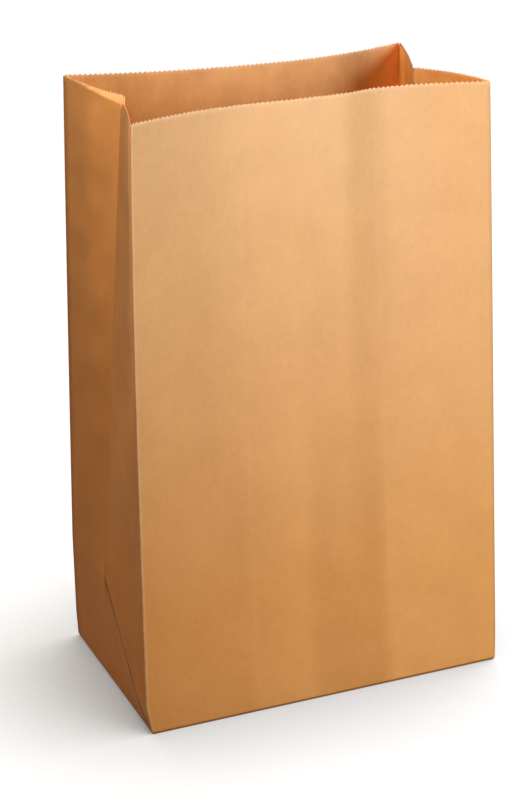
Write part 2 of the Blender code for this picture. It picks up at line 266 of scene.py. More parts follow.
# Soft square lamps, all turned to one place in the bag's upper half, and the light of the room
Lamp = collections.namedtuple("Lamp", "name place size watts colour")
LAMPS = (
    Lamp("overhead", (0.0, 0.3, 1.6), 2.2, 6.0, (1.0, 0.93, 0.85)),
    Lamp("main", (0.22, -0.53, 0.38), 0.25, 3.15, (0.78, 0.89, 1.0)),
    Lamp("low", (0.25, -0.58, 0.12), 0.20, 1.0, (0.77, 0.88, 1.0)),
    Lamp("top_left", (-0.27, -0.19, 0.43), 0.15, 0.26, (1.0, 0.68, 0.34)),
    Lamp("top", (-0.12, -0.02, 0.55), 0.20, 1.95, (1.0, 0.70, 0.38)),
    Lamp("back", (0.10, 0.65, 0.42), 0.40, 2.4, (1.0, 0.97, 0.93)),
)
LAMP_TARGET = (0.0, 0.0, 0.16)
WORLD_COLOUR = (1.0, 0.95, 0.90, 1.0)
WORLD_STRENGTH = 0.005

# The floor: the colour whose light reaches the bag, its colour and its lift to white where the camera
# sees it, its lift in reflections, its roughness and its size
FLOOR_COLOUR = (0.30, 0.23, 0.16, 1.0)
FLOOR_SEEN_COLOUR = (0.12, 0.12, 0.12, 1.0)
FLOOR_LIFT = 1.0
FLOOR_GLOSS_LIFT = 0.10
FLOOR_ROUGHNESS = 0.9
FLOOR_SIZE = 8.0
WHITE = (1.0, 1.0, 1.0, 1.0)

# The bag's soft shadow on the floor: the direction towards a broad light, and how far the bag shades it
SHADOW_LIGHT = (0.55, -0.05, 0.83)
SHADOW_REACH = 0.085

# Colours of the paper: its darkest and palest shade near the base and at the rim, where a painted sheen
# makes it paler, its flecks, its rubbed folds and painted highlights, and its painted shade in creases
DARK_KRAFT = (0.474, 0.178, 0.036, 1.0)
PALE_KRAFT = (0.826, 0.386, 0.114, 1.0)
DARK_RIM_SHEEN = (0.540, 0.300, 0.126, 1.0)
PALE_RIM_SHEEN = (0.940, 0.550, 0.264, 1.0)
FLECK_KRAFT = (0.340, 0.140, 0.035, 1.0)
WORN_AND_LIT_KRAFT = (0.900, 0.630, 0.400, 1.0)
CREASE_SHADE_KRAFT = (0.340, 0.120, 0.024, 1.0)

# A painted sheen makes the paper paler from this height up to the rim, by these shares outside and inside
PAINTED_SHEEN_FROM = 0.05
PAINTED_SHEEN_SHARES = (0.75, 0.45)

# Grains of the paper: how much each is squeezed along the sheet, up it and through it, where less than
# 1 draws it out, its scale and its detail
Grain = collections.namedtuple("Grain", "squeeze scale detail")
FIBRE = Grain((1.0, 0.30, 1.0), 900.0, 3.0)
FELT = Grain((1.0, 0.8, 1.0), 330.0, 4.0)
CLOUD = Grain((1.0, 0.8, 3.0), 55.0, 4.0)
FLECK = Grain((1.0, 0.6, 1.0), 1100.0, 1.0)

# How strong the finer detail of every grain is, and the values between which a grain mostly lies
GRAIN_ROUGHNESS = 0.6
GRAIN_RANGE = (0.3, 0.7)

# How much the clouds (outside and inside), the fibre, the felt and the painted light and shade change the
# shade, and the sum of these at which the palest shade is reached
CLOUDING = (0.20, 0.80)
FIBRE_SHADE = 0.10
FELT_SHADE = 0.12
PAINTED_SHADING_SHARE = 0.5
FULL_SHADE = 1.6

# The grain's values that count as a fleck, and how much of its colour a fleck takes
FLECK_VALUES = (0.68, 0.80)
FLECK_STRENGTH = 0.25

# How much of its colour a rubbed fold or painted highlight takes where the felt is low and where it is
# high, and how fast these and the painted shade of creases fade away from a fold
RUBBED_AND_LIT = (0.50, 0.90)
RUBBED_AND_LIT_FADE = 2.2
CREASE_SHADE_FADE = 1.4

# Surface: roughness where the felt is low and where it is high, gloss, and the relief of the grains
ROUGHNESS = (0.44, 0.54)
GLOSS = 0.2
FIBRE_RELIEF = 0.4
FELT_RELIEF = 0.5
CLOUD_RELIEF = 0.8
RELIEF_STRENGTH = 0.25
RELIEF_DEPTH = 0.0003

# The visible piece's name, and the slot and name of its material
PIECE = "kraft_sheet"
SLOT = "kraft_paper"


def mix(a, b, share):
    """The value that lies a share of the way from a to b."""
    return a + (b - a) * share


def share_of_height(height, start):
    """How far up the part of the bag above start a height is, from 0 to 1."""
    return max(0.0, (height - start) / (HEIGHT - start))


def near_crease_height(height):
    """1 at the crease height, falling to 0 a little above and below it."""
    return max(0.0, 1 - abs(height - CREASE_HEIGHT) / CREASE_ZONE)


def bulge(size, from_corner, height):
    """How far a side panel swells out: below the slanting crease it leans out from the base's edge."""
    rise = min(1.0, height / max(from_corner, CREASE_ZONE))
    return size * rise * (1 - share_of_height(height, 0.0) ** BULGE_FADE)


def flat_corner(name, height):
    """A corner's place at a height, without its side panel's bulge."""
    corner = CORNERS[name]
    lean = share_of_height(height, corner.lean_from)
    return corner.x + corner.rim_x * lean, corner.y + corner.rim_y * lean


def pushed_out(point, size, from_corner, height):
    """A point of a side panel moved away from the bag's middle by the panel's bulge."""
    return point[0] + math.copysign(bulge(size, from_corner, height), point[0]), point[1]


def corner_point(name, height):
    """A corner's place at a height."""
    return pushed_out(flat_corner(name, height), CORNERS[name].bulge, 0.0, height)


def crease_point(gusset, height):
    """The upright crease's place at a height, without the bulge."""
    front = flat_corner(gusset.front, height)
    back = flat_corner(gusset.back, height)
    tuck = share_of_height(height, CREASE_HEIGHT) ** GUSSET_GROWTH
    x = mix(front[0], back[0], 0.5) + gusset.tuck_x * tuck
    y = mix(front[1], back[1], 0.5) + gusset.tuck_y * tuck
    return x, y


def beside_chord(start, end, share, inward):
    """The point a share of the way from start to end, moved to the left of that line by inward."""
    along_x, along_y = end[0] - start[0], end[1] - start[1]
    length = math.hypot(along_x, along_y)
    x = start[0] + along_x * share - along_y / length * inward
    y = start[1] + along_y * share + along_x / length * inward
    return x, y


def wall_point(wall, share, height):
    """A point of the front or the back wall, which bows in towards the rim."""
    grown = share_of_height(height, wall.lean_from) ** wall.growth
    bow = sum(size * math.sin(math.pi * (i + 1) * share) for i, size in enumerate(wall.waves))
    from_edge = min(1.0, min(share, 1 - share) * WIDTH / CREASE_ZONE)
    inward = bow * grown + wall.dent * near_crease_height(height) * from_edge
    return beside_chord(
        corner_point(wall.start, height), corner_point(wall.end, height), share, inward
    )


def share_from_corner(half, share):
    """How far a place on half a side panel is from the corner towards the panel's middle, from 0 to 1."""
    return share if half.from_corner else 1 - share


def half_point(half, share, height):
    """A point of half a side panel, between its corner and the upright crease."""
    gusset = GUSSETS[half.gusset]
    corner = flat_corner(half.corner, height)
    crease = crease_point(gusset, height)
    swell = -half.swell * share_of_height(height, CREASE_HEIGHT) * math.sin(math.pi * share)
    ends = (corner, crease) if half.from_corner else (crease, corner)
    point = beside_chord(*ends, share, swell)
    away = share_from_corner(half, share)
    middle_bulge = mix(CORNERS[gusset.front].bulge, CORNERS[gusset.back].bulge, 0.5)
    size = mix(CORNERS[half.corner].bulge, middle_bulge, away)
    point = pushed_out(point, size, away * DEPTH / 2, height)
    ridge = half.ridge * near_crease_height(height) * math.sin(math.pi * away / 2)
    return point[0] + math.copysign(ridge, point[0]), point[1]


def side_point(side, share, height):
    """A point of a wall or of half a side panel, without its relief."""
    if isinstance(side, Wall):
        return wall_point(side, share, height)
    return half_point(side, share, height)


def side_length(side):
    """How much of the sheet a side takes up, along it."""
    return WIDTH if isinstance(side, Wall) else DEPTH / 2


def sheet_place(side, share):
    """How far along the unfolded sheet a place lies, in metres from the front left corner."""
    before = sum(side_length(other) for other in SIDES[: SIDES.index(side)])
    return before + share * side_length(side)


def soft_step(value):
    """Rises from 0 to 1 as the value does, and levels out at both."""
    value = min(1.0, max(0.0, value))
    return value * value * (3 - 2 * value)


def between_knots(knots, share):
    """The value at a share of the way along straight lines between (share, value) knots."""
    for (start, low), (end, high) in zip(knots, knots[1:]):
        if share <= end:
            return mix(low, high, (share - start) / (end - start))
    return knots[-1][1]


def pressed_marks(side, share, height):
    """How far the front wall stands out, where folding flat has left it slightly facetted."""
    if side is not FRONT:
        return 0.0
    up = height / HEIGHT
    knots = (
        (0.0, 0.0),
        (MARKS[0], -mix(*LEFT_MARK_SINKS, soft_step(up))),
        (mix(*RIDGE_SHARES, up), RIDGE_RISE),
        (MARKS[1], -mix(*RIGHT_MARK_SINKS, soft_step(up))),
        (1.0, 0.0),
    )
    return soft_step(height / CREASE_HEIGHT) * between_knots(knots, share)


def below_slanting_crease(side, share, height):
    """Whether a place of a side panel lies in the triangle between its slanting creases."""
    return height < share_from_corner(side, share) * DEPTH / 2 - HAIR


def panel_painted_shading(side, share, height):
    """Painted light and shade on the outside of the left side panel."""
    # A painted highlight on the lip
    if lip_share(side, share, height) > 0:
        return LIP_PAINTED_HIGHLIGHT
    grown = soft_step((height / HEIGHT - GUSSET_SHADING_FROM) / (GUSSET_SHADING_TO - GUSSET_SHADING_FROM))
    painted_shading = between_knots(GUSSET_PAINTED_SHADING[side], share) * grown
    # Painted shade along the back edge
    if side is LEFT_BACK:
        painted_shading += EDGE_PAINTED_SHADE * soft_step(1 - share / EDGE_REACH)
    # Painted light on the triangle below the slanting creases
    if below_slanting_crease(side, share, height):
        painted_shading += TRIANGLE_PAINTED_LIGHT
    return painted_shading


def painted_shading_at(side, share, height, face):
    """Painted light and shade on a face: how much paler or darker than usual it is, in bands on the front
    wall, on the left gusset and inside.
    """
    if face == INNER_FACE:
        return between_knots(INSIDE_PAINTED_SHADING[side], share) if side in INSIDE_PAINTED_SHADING else 0.0
    if side in GUSSET_PAINTED_SHADING:
        return panel_painted_shading(side, share, height)
    if side is not FRONT:
        return 0.0
    ends = between_knots(FRONT_SHADING_AT_BASE, share), between_knots(FRONT_SHADING_AT_RIM, share)
    return mix(*ends, soft_step(height / HEIGHT))


def crumple(side, share, height):
    """Soft unevenness of the sheet, which folds and the base hold still."""
    from_fold = min(share, 1 - share) * side_length(side)
    free = soft_step(from_fold / CRUMPLE_GROWTH) * soft_step(height / (2 * CRUMPLE_GROWTH))
    strength = 1.0 if isinstance(side, Wall) else PANEL_CRUMPLE
    place = Vector((sheet_place(side, share), height, 0.0))
    return free * strength * sum(depth * noise.noise(place / size) for depth, size in CRUMPLES)


def lip_share(side, share, height):
    """How far the left gusset's lip is bent at a place, from 0 below it to 1 at its tip."""
    if side not in LIP_REACH:
        return 0.0
    from_crease = (1 - share_from_corner(side, share)) * side_length(side)
    near_crease = max(0.0, 1 - from_crease / LIP_REACH[side])
    tall = LIP_HEIGHT * max(near_crease, LIP_LEAST)
    return near_crease * min(1.0, max(0.0, (height - HEIGHT + tall) / tall))


def relief(side, share, height):
    """How far the sheet stands out from its plain folded shape."""
    lean = LIP_LEAN * lip_share(side, share, height)
    return pressed_marks(side, share, height) + crumple(side, share, height) - lean


def crease_rises(side):
    """Whether the slanting creases climb in the direction in which the stations run."""
    return isinstance(side, Wall) or side.from_corner


def seam_lifts(side, column):
    """How far the two faces of the back wall are lifted at a column by the glued overlap."""
    if side is not BACK:
        return 0.0, 0.0
    if SEAM_COLUMNS[0] < column < SEAM_COLUMNS[1]:
        return PAPER, 0.0
    settled = 1 - (column - SEAM_COLUMNS[1]) / SEAM_SETTLE
    if 0 < settled < 1:
        return PAPER * settled, PAPER * settled
    return 0.0, 0.0


def column_wear(side, column):
    """How worn a side is at a column, which the marks in the long walls are."""
    marks = [round(mark * WALL_COLUMNS) for mark in MARKS]
    return MARK_WEAR if isinstance(side, Wall) and column in marks else 0.0


def side_stations(side):
    """The columns of one side from its start, with a rounded fold at the start."""
    columns = WALL_COLUMNS if isinstance(side, Wall) else HALF_PANEL_COLUMNS
    length = side_length(side)
    fold, half_cut = FOLD_RUN / length, CUT_RUN / 2 / length
    # Rubbed folds with a painted highlight above 0, and painted shade along folds below 0
    fold_wear_and_shading = FOLD_WEAR_AND_SHADING.get(side, SLIGHT_WEAR)
    stations = [Station(side, (2 * t - 1) * fold, 0.0, 0.0, fold_wear_and_shading, t) for t in FOLD_SHARES]
    stations.append(Station(side, fold, 0.0, 0.0, fold_wear_and_shading * FOLD_END_SHARE, None))
    for column in range(1, columns):
        share = column / columns
        wear = column_wear(side, column)
        if side is BACK and column in SEAM_EDGES:
            before, after = SEAM_EDGES[column]
            stations.append(Station(side, share - half_cut, *before, wear, None))
            stations.append(Station(side, share + half_cut, *after, wear, None))
        else:
            stations.append(Station(side, share, *seam_lifts(side, column), wear, None))
    next_side = SIDES[(SIDES.index(side) + 1) % len(SIDES)]
    end_wear_and_shading = FOLD_WEAR_AND_SHADING.get(next_side, SLIGHT_WEAR) * FOLD_END_SHARE
    return stations + [Station(side, 1 - fold, 0.0, 0.0, end_wear_and_shading, None)]


def all_stations():
    """The columns of a whole row."""
    return [station for side in SIDES for station in side_stations(side)]


def outward_normal(start, end):
    """The direction out of the bag at a right angle to the line from start to end."""
    along_x, along_y = end[0] - start[0], end[1] - start[1]
    length = math.hypot(along_x, along_y)
    return along_y / length, -along_x / length


def base_inset(height):
    """How far the fold round the base draws the walls in at a height."""
    short = 1 - min(1.0, height / BASE_FOLD)
    return BASE_FOLD * (1 - math.sqrt(1 - short * short))


def bent(start, corner, end, share):
    """A point of the smooth bend from start to end that leans on the corner."""
    weights = ((1 - share) ** 2, 2 * share * (1 - share), share**2)
    return tuple(sum(w * p[axis] for w, p in zip(weights, (start, corner, end))) for axis in (0, 1))


def plan_points(stations, heights):
    """Where the stations lie, with the folds rounded."""
    plan = [side_point(s.side, max(0.0, s.share), z) for s, z in zip(stations, heights)]
    rounded = list(plan)
    steps = len(FOLD_SHARES) + 1
    for i, station in enumerate(stations):
        if station.bend is not None:
            step = FOLD_SHARES.index(station.bend) + 1
            before, after = plan[i - step], plan[(i + steps - step) % len(plan)]
            corner = side_point(station.side, 0.0, heights[i])
            rounded[i] = bent(before, corner, after, station.bend)
    return rounded


def both_faces(stations, heights):
    """The outer and the inner face's points at these stations, a sheet's thickness apart."""
    plan = plan_points(stations, heights)
    outer, inner = [], []
    for i, (x, y) in enumerate(plan):
        before, after = plan[i - 1], plan[(i + 1) % len(plan)]
        first = outward_normal(before, (x, y))
        second = outward_normal((x, y), after)
        spread = 1 + first[0] * second[0] + first[1] * second[1]
        out_x, out_y = (first[0] + second[0]) / spread, (first[1] + second[1]) / spread
        station = stations[i]
        out = relief(station.side, max(0.0, station.share), heights[i]) - base_inset(heights[i])
        lift, sink = out + station.outer_lift, out + station.inner_lift - PAPER
        outer.append((x + out_x * lift, y + out_y * lift, heights[i]))
        inner.append((x + out_x * sink, y + out_y * sink, heights[i]))
    return outer, inner


def row_heights():
    """The heights of the rows between the base and the rim's band."""
    low = [BASE_FOLD * share for share in BASE_ROWS]
    low += [CREASE_HEIGHT * i / LOW_ROWS for i in range(1, LOW_ROWS)]
    top = HEIGHT - RIM_BAND
    lip_foot = HEIGHT - LIP_HEIGHT
    high = [mix(CREASE_HEIGHT, lip_foot, i / HIGH_ROWS) for i in range(HIGH_ROWS + 1)]
    return low + high + [mix(lip_foot, top, i / LIP_ROWS) for i in range(1, LIP_ROWS + 1)]


def tooth_stations(stations):
    """The rim's valleys, at the stations, each followed by the tip of its tooth where it has one."""
    teeth = []
    for i, start in enumerate(stations):
        end = stations[(i + 1) % len(stations)]
        end_share = end.share if end.side is start.side else 1.0
        teeth.append((start, False))
        if (end_share - start.share) * side_length(start.side) > FOLD_RUN:
            middle = Station(
                side=start.side,
                share=mix(start.share, end_share, 0.5),
                outer_lift=mix(start.outer_lift, end.outer_lift, 0.5),
                inner_lift=mix(start.inner_lift, end.inner_lift, 0.5),
                wear=mix(start.wear, end.wear, 0.5),
                bend=None,
            )
            teeth.append((middle, True))
    return teeth


def tooth_height(station, is_tip):
    """The rim's height, where the blade has cut some teeth a little deeper than others."""
    if is_tip:
        return HEIGHT
    step = sheet_place(station.side, station.share) / TOOTH_PITCH * TOOTH_NOISE_STEP
    uneven = 1 + TOOTH_UNEVEN * noise.noise(Vector((step, TOOTH_NOISE_ROW, 0.0)))
    return HEIGHT - TOOTH_DEPTH * uneven


class Sheet:
    """The mesh being made, with each vertex's place on the unfolded sheet, its wear with painted
    highlights and shade, and its painted light and shade.
    """

    def __init__(self):
        self.bm = bmesh.new()
        self.sheet = self.bm.loops.layers.float_vector.new("sheet")
        self.wear = self.bm.verts.layers.float.new("wear")
        self.painted_shading = self.bm.verts.layers.float.new("painted_shading")
        self.places = {}

    def add_points(self, points):
        """New vertices, without a place on the sheet."""
        return [self.bm.verts.new(point) for point in points]

    def add_ring(self, points, stations, face):
        """A closed row of vertices on one face of the sheet, at these stations."""
        verts = self.add_points(points)
        for vert, station in zip(verts, stations):
            vert[self.wear] = wear_and_shading_at(station, vert.co.z)
            vert[self.painted_shading] = painted_shading_at(station.side, station.share, vert.co.z, face)
            self.places[vert] = (sheet_place(station.side, station.share), vert.co.z, face)
        return verts

    def face(self, verts):
        """A new face between these vertices."""
        return self.bm.faces.new(verts)


def add_wall_rows(made, rows, stations):
    """Triangles between rows, split along the slanting creases."""
    count = len(stations)
    for lower, upper in zip(rows, rows[1:]):
        for i, station in enumerate(stations):
            j = (i + 1) % count
            a, b, c, d = lower[i], lower[j], upper[j], upper[i]
            if crease_rises(station.side):
                made.face((a, b, c))
                made.face((a, c, d))
            else:
                made.face((a, b, d))
                made.face((b, c, d))


def add_rim_band(made, row, rim, teeth):
    """The pinked band from the top row to the rim."""
    at = 0
    for i, left in enumerate(row):
        right = row[(i + 1) % len(row)]
        has_tip = at + 1 < len(teeth) and teeth[at + 1][1]
        valley = rim[at]
        if has_tip:
            tip, after = rim[at + 1], rim[(at + 2) % len(rim)]
            made.face((left, right, tip))
            made.face((left, tip, valley))
            made.face((right, after, tip))
        else:
            after = rim[(at + 1) % len(rim)]
            made.face((left, right, after, valley))
        at += 2 if has_tip else 1


def add_rim_edge(made, outer, inner):
    """The sheet's cut edge along the rim."""
    for i, point in enumerate(outer):
        j = (i + 1) % len(outer)
        made.face((point, outer[j], inner[j], inner[i]))


def pinked(start, end, side_x, side_y, level):
    """The points of a pinked edge between start and end, with its teeth standing towards side."""
    teeth = round(math.dist(start, end) / TOOTH_PITCH)
    points = []
    for step in range(1, 2 * teeth):
        depth = TOOTH_DEPTH * (step % 2)
        share = step / (2 * teeth)
        x = mix(start[0], end[0], share) + side_x * depth
        y = mix(start[1], end[1], share) + side_y * depth
        points.append((x, y, level))
    return points


def between(ring, stations, start_side, end_side):
    """The ring's points from the start of one side to the start of another, both included."""
    sides = [station.side for station in stations]
    start, end = sides.index(start_side), sides.index(end_side)
    if end <= start:
        end += len(ring)
    return [ring[i % len(ring)] for i in range(start, end + 1)]


def edges_of(ring, stations):
    """The ring's points along the front, the right, the back and the left edge of the base."""
    starts = (FRONT, RIGHT_FRONT, BACK, LEFT_BACK, FRONT)
    return [between(ring, stations, start, end) for start, end in zip(starts, starts[1:])]


def sink_faces(made, faces, depth):
    """Lowers faces by depth, with a step round them. Returns the lowered faces."""
    grown = bmesh.ops.extrude_face_region(made.bm, geom=faces)["geom"]
    for vert in (item for item in grown if isinstance(item, bmesh.types.BMVert)):
        vert.co.z -= depth
    leftover = [face for face in faces if face.is_valid]
    bmesh.ops.delete(made.bm, geom=leftover, context="FACES_ONLY")
    return [item for item in grown if isinstance(item, bmesh.types.BMFace)]


def front_face(faces):
    """The face that lies nearest to the front."""
    return min(faces, key=lambda face: face.calc_center_median().y)


def add_underside(made, ring, stations):
    """The base from below: side flaps, the inner long flap from the back, the outer one from the front."""
    tip_x, cut_x = WIDTH / 2 - DEPTH / 2, WIDTH / 2 - FLAP_REACH
    right_tip, left_tip, right_cut, left_cut = made.add_points(
        [
            (tip_x, 0.0, SIDE_FLAP),
            (-tip_x, 0.0, SIDE_FLAP),
            (cut_x, FLAP_PASS, SIDE_FLAP),
            (-cut_x, FLAP_PASS, SIDE_FLAP),
        ]
    )
    cut = made.add_points(pinked((cut_x, FLAP_PASS), (-cut_x, FLAP_PASS), 0, 1, SIDE_FLAP))
    front, right, back, left = edges_of(ring, stations)
    made.face(right + [right_tip])
    made.face(left + [left_tip])
    outer = made.face(front + [right_tip, right_cut] + cut + [left_cut, left_tip])
    inner = made.face(back + [left_tip, left_cut] + cut[::-1] + [right_cut, right_tip])
    lowered = sink_faces(made, [outer, inner], SIDE_FLAP - INNER_FLAP)
    sink_faces(made, [front_face(lowered)], INNER_FLAP)


def nearest(verts, x):
    """The index of the vertex nearest to x."""
    return min(range(len(verts)), key=lambda i: abs(verts[i].co.x - x))


def add_floor(made, ring, stations):
    """The base from inside: side flaps, and between their cut edges the two long flaps a step lower."""
    cut_x = WIDTH / 2 - FLAP_REACH
    front, right, back, left = edges_of(ring, stations)
    front_left, front_right = nearest(front, -cut_x), nearest(front, cut_x)
    back_right, back_left = nearest(back, cut_x), nearest(back, -cut_x)
    right_step, left_step = made.add_points(
        [(cut_x, -FLAP_PASS, FLOOR), (-cut_x, -FLAP_PASS, FLOOR)]
    )

    def cut_edge(start, end, side_x):
        """The pinked end of a side flap between two vertices."""
        return made.add_points(pinked(start.co.xy, end.co.xy, side_x, 0, FLOOR))

    right_low = cut_edge(front[front_right], right_step, -1)
    right_high = cut_edge(right_step, back[back_right], -1)
    left_low = cut_edge(front[front_left], left_step, 1)
    left_high = cut_edge(left_step, back[back_left], 1)
    cross = made.add_points(pinked((cut_x, -FLAP_PASS), (-cut_x, -FLAP_PASS), 0, -1, FLOOR))

    right_outline = front[front_right:-1] + right[:-1] + back[: back_right + 1]
    left_outline = back[back_left:-1] + left[:-1] + front[: front_left + 1]
    made.face(right_outline + right_high[::-1] + [right_step] + right_low[::-1])
    made.face(left_outline + left_low + [left_step] + left_high)
    outer = made.face(
        front[front_left : front_right + 1]
        + right_low
        + [right_step]
        + cross
        + [left_step]
        + left_low[::-1]
    )
    inner = made.face(
        back[back_right : back_left + 1]
        + left_high[::-1]
        + [left_step]
        + cross[::-1]
        + [right_step]
        + right_high
    )
    lowered = sink_faces(made, [outer, inner], PAPER)
    sink_faces(made, [front_face(lowered)], PAPER)


def slanting_shading(side, share, height):
    """The painted shade that a slanting crease adds to a side panel below its line, and the painted
    highlight above it.
    """
    if isinstance(side, Wall) or height > CREASE_HEIGHT + HAIR:
        return 0.0
    above = height - share_from_corner(side, share) * DEPTH / 2
    if abs(above) >= SLANTING_REACH:
        return 0.0
    wear = SLANTING_PAINTED_SHADE[side] * (1 - (above / SLANTING_REACH) ** 2)
    return wear * SLANTING_PAINTED_HIGHLIGHT if above > HAIR else wear


def on_level_crease(station, height):
    """Whether a place lies on the crease across the back wall and the back halves."""
    return station.side in (BACK, RIGHT_BACK, LEFT_BACK) and abs(height - CREASE_HEIGHT) < HAIR


def on_panel_middle(station):
    """Whether a place lies where a side panel's halves meet, which has no crease near the base."""
    if isinstance(station.side, Wall):
        return False
    return share_from_corner(station.side, station.share) > 1 - MIDDLE_SHARE


def wear_and_shading_at(station, height):
    """How worn a place is, with painted highlights and shade: at the rim and the base's fold, on a crease
    that crosses its row or between.
    """
    side = station.side
    # The lip gets the rim's painted highlight
    if side is LEFT_BACK and lip_share(side, station.share, height) > 0:
        return RIM_PAINTED_HIGHLIGHT
    # A painted highlight along the rim, or painted shade on two of its sides
    if height > HEIGHT - RIM_REACH:
        near_rim = (height - HEIGHT + RIM_REACH) / RIM_REACH
        return mix(station.wear, RIM_PAINTED_SHADE.get(side, RIM_PAINTED_HIGHLIGHT), near_rim)
    # A painted contact shadow along the fold round the base
    if height < BASE_FOLD * BASE_ROWS[1] + HAIR:
        return BASE_PAINTED_SHADOW
    if on_level_crease(station, height):
        return max(station.wear, LEVEL_WEAR)
    slanting = slanting_shading(side, station.share, height)
    if slanting or (on_panel_middle(station) and height < CREASE_HEIGHT):
        return slanting
    # Painted shade along the left side panel's back edge
    if side is LEFT_BACK and FOLD_RUN / side_length(side) < station.share < EDGE_REACH:
        return EDGE_PAINTED_LINE * (1 - station.share / EDGE_REACH) ** 2
    return station.wear


def mark_sharp_edges(bm):
    """Smooth shading, apart from the cut edges."""
    for face in bm.faces:
        face.smooth = True
    for edge in bm.edges:
        edge.smooth = edge.calc_face_angle(0.0) < SHARP_ANGLE


def add_sheet_places(made):
    """Each face corner's place on the unfolded sheet: along it, up it, and on which face of it."""
    around = sum(side_length(side) for side in SIDES)
    for face in made.bm.faces:
        places = [made.places.get(loop.vert) for loop in face.loops]
        is_level = abs(face.normal.z) > LEVEL_NORMAL and face.calc_center_median().z < CREASE_HEIGHT
        if is_level or None in places:
            for loop in face.loops:
                loop[made.sheet] = (loop.vert.co.x, loop.vert.co.y, OUTER_FACE)
            continue
        crosses_end = max(place[0] for place in places) - min(place[0] for place in places) > WIDTH
        for loop, (along, up, sheet_face) in zip(face.loops, places):
            if crosses_end and along < WIDTH:
                along += around
            loop[made.sheet] = (along, up, sheet_face)


def bag_mesh():
    """The whole sheet as one closed surface."""
    made = Sheet()
    stations = all_stations()
    teeth = tooth_stations(stations)
    rim_stations = [station for station, _ in teeth]
    rim_heights = [tooth_height(station, is_tip) for station, is_tip in teeth]
    outer_rim, inner_rim = both_faces(rim_stations, rim_heights)
    outer_foot, _ = both_faces(stations, [SIDE_FLAP] * len(stations))
    _, inner_foot = both_faces(stations, [FLOOR] * len(stations))
    outer_rows = [made.add_ring(outer_foot, stations, OUTER_FACE)]
    inner_rows = [made.add_ring(inner_foot, stations, INNER_FACE)]
    for height in row_heights():
        outer, inner = both_faces(stations, [height] * len(stations))
        outer_rows.append(made.add_ring(outer, stations, OUTER_FACE))
        inner_rows.append(made.add_ring(inner, stations, INNER_FACE))
    rims = []
    faces = ((outer_rows, outer_rim, OUTER_FACE), (inner_rows, inner_rim, INNER_FACE))
    for rows, rim_points, face in faces:
        add_wall_rows(made, rows, stations)
        rim = made.add_ring(rim_points, rim_stations, face)
        add_rim_band(made, rows[-1], rim, teeth)
        rims.append(rim)
    add_rim_edge(made, *rims)
    add_underside(made, outer_rows[0], stations)
    add_floor(made, inner_rows[0], stations)
    bmesh.ops.recalc_face_normals(made.bm, faces=made.bm.faces)
    mark_sharp_edges(made.bm)
    add_sheet_places(made)
    mesh = bpy.data.meshes.new(PIECE)
    made.bm.to_mesh(mesh)
    made.bm.free()
    return mesh


def new_material(name):
    """A material, its node tree and its shader."""
    material = bpy.data.materials.new(name)
    material.use_nodes = True
    tree = material.node_tree
    return material, tree, tree.nodes["Principled BSDF"]


def attribute_node(tree, name):
    """A node that reads an attribute of the mesh."""
    node = tree.nodes.new("ShaderNodeAttribute")
    node.attribute_name = name
    return node


def grain_node(tree, place, grain):
    """The values of one grain at a place on the unfolded sheet."""
    squeezed = tree.nodes.new("ShaderNodeVectorMath")
    squeezed.operation = "MULTIPLY"
    tree.links.new(place, squeezed.inputs[0])
    squeezed.inputs[1].default_value = grain.squeeze
    node = tree.nodes.new("ShaderNodeTexNoise")
    tree.links.new(squeezed.outputs["Vector"], node.inputs["Vector"])
    node.inputs["Scale"].default_value = grain.scale
    node.inputs["Detail"].default_value = grain.detail
    node.inputs["Roughness"].default_value = GRAIN_ROUGHNESS
    return node.outputs["Fac"]


def math_node(tree, operation, first, second):
    """The result of a sum or the like on two numbers or sockets."""
    node = tree.nodes.new("ShaderNodeMath")
    node.operation = operation
    for socket, value in zip(node.inputs, (first, second)):
        if isinstance(value, (int, float)):
            socket.default_value = value
        else:
            tree.links.new(value, socket)
    return node.outputs["Value"]


def ranged(tree, value, from_low, from_high, to_low, to_high):
    """The value spread from one range over another, and held at that range's ends."""
    node = tree.nodes.new("ShaderNodeMapRange")
    tree.links.new(value, node.inputs["Value"])
    for name, number in (
        ("From Min", from_low),
        ("From Max", from_high),
        ("To Min", to_low),
        ("To Max", to_high),
    ):
        node.inputs[name].default_value = number
    return node.outputs["Result"]


def mixed_colour(tree, share, first, second):
    """The colour that lies a share of the way from the first to the second."""
    node = tree.nodes.new("ShaderNodeMix")
    node.data_type = "RGBA"
    tree.links.new(share, node.inputs["Factor"])
    for name, value in (("A", first), ("B", second)):
        socket = next(s for s in node.inputs if s.name == name and s.type == "RGBA")
        if isinstance(value, tuple):
            socket.default_value = value
        else:
            tree.links.new(value, socket)
    return next(s for s in node.outputs if s.type == "RGBA")


def weighted_sum(tree, *parts):
    """The sum of (socket, weight) parts."""
    total = 0.0
    for socket, weight in parts:
        total = math_node(tree, "ADD", math_node(tree, "MULTIPLY", socket, weight), total)
    return total


def evened(tree, grain):
    """A grain's usual values spread from -1 to 1."""
    return ranged(tree, grain, *GRAIN_RANGE, -1.0, 1.0)


def by_felt(tree, felt, values):
    """The first value where the felt is low, and the second where it is high."""
    return ranged(tree, felt, *GRAIN_RANGE, *values)


def paper_colour(tree, shade, height, inside):
    """Kraft brown from dark to pale by its shade, with a painted sheen that makes it paler towards the
    rim.
    """
    painted_sheen = ranged(tree, height, PAINTED_SHEEN_FROM, HEIGHT, 0.0, 1.0)
    painted_sheen = math_node(tree, "MULTIPLY", painted_sheen, ranged(tree, inside, 0.0, 1.0, *PAINTED_SHEEN_SHARES))
    dark = mixed_colour(tree, painted_sheen, DARK_KRAFT, DARK_RIM_SHEEN)
    pale = mixed_colour(tree, painted_sheen, PALE_KRAFT, PALE_RIM_SHEEN)
    return mixed_colour(tree, shade, dark, pale)


